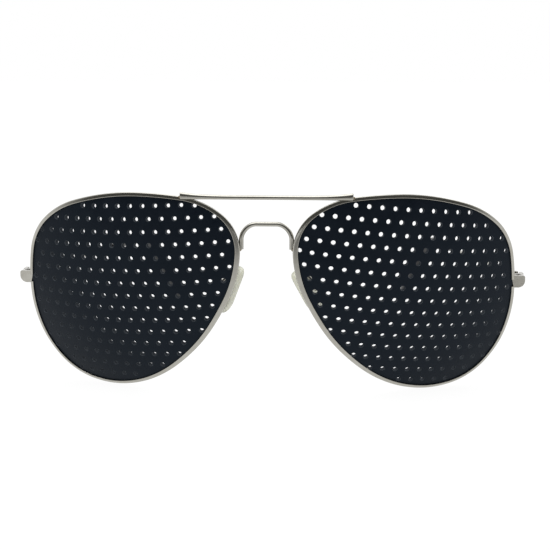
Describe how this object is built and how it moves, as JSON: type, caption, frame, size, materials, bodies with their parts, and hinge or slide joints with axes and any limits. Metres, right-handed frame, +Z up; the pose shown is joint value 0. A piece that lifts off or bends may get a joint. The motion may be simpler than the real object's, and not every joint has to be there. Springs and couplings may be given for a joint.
{
  "type": "pinhole glasses",
  "caption": "Pinhole glasses: aviator wire frame with perforated black plates in place of lenses, brow bar, bridge, adjustable nose pads and folding wire temples with black tips.",
  "frame": {"origin": "centre of the bounding box on the surface that the rims and the temple tips stand on, temples open", "axes": "+X to the right as seen from the front (the wearer's left), +Y from the plates to the temple tips, +Z up"},
  "size_m": [0.146, 0.1438, 0.0575],
  "materials": {
    "frame_metal": "satin plated nickel silver, warm pale grey",
    "screw_steel": "bright turned steel",
    "plate_plastic": "near-black moulded plastic with a soft sheen and moulded through holes",
    "tip_plastic": "polished black",
    "pad_silicone": "translucent ivory-grey silicone",
    "core_plastic": "clear moulded insert"
  },
  "bodies": {
    "front": {"bridge": "frame_metal", "brow_bar": "frame_metal", "left_rim": "frame_metal", "left_closing_block_upper": "frame_metal", "left_closing_block_lower": "frame_metal", "left_rim_screw": "screw_steel", "left_end_piece": "frame_metal", "left_hinge_screw": "screw_steel", "left_pad_arm": "frame_metal", "left_pad_box": "frame_metal", "left_pad_screw": "screw_steel", "left_pinhole_plate": "plate_plastic", "right_rim": "frame_metal", "right_closing_block_upper": "frame_metal", "right_closing_block_lower": "frame_metal", "right_rim_screw": "screw_steel", "right_end_piece": "frame_metal", "right_hinge_screw": "screw_steel", "right_pad_arm": "frame_metal", "right_pad_box": "frame_metal", "right_pad_screw": "screw_steel", "right_pinhole_plate": "plate_plastic"},
    "left_temple": {"left_temple": "frame_metal", "left_temple_tip": "tip_plastic"},
    "left_pad": {"left_pad_core": "core_plastic", "left_nose_pad": "pad_silicone"},
    "right_temple": {"right_temple": "frame_metal", "right_temple_tip": "tip_plastic"},
    "right_pad": {"right_pad_core": "core_plastic", "right_nose_pad": "pad_silicone"}
  },
  "joints": [
    {"name": "left_temple_fold", "type": "hinge", "parent": "front", "child": "left_temple", "pos_m": [-0.06996, -0.04556, 0.0302], "axis": [0, -0.0411, -0.9992], "range_deg": [0, 76.5]},
    {"name": "left_pad_rock", "type": "hinge", "parent": "front", "child": "left_pad", "pos_m": [-0.01264, -0.06193, 0.0304], "axis": [0.5, -0.8653, 0.0356], "range_deg": [-18, 6]},
    {"name": "right_temple_fold", "type": "hinge", "parent": "front", "child": "right_temple", "pos_m": [0.06996, -0.04556, 0.0302], "axis": [0, 0.0411, 0.9992], "range_deg": [0, 72.5]},
    {"name": "right_pad_rock", "type": "hinge", "parent": "front", "child": "right_pad", "pos_m": [0.01264, -0.06193, 0.0304], "axis": [0.5, 0.8653, -0.0356], "range_deg": [-6, 18]}
  ]
}
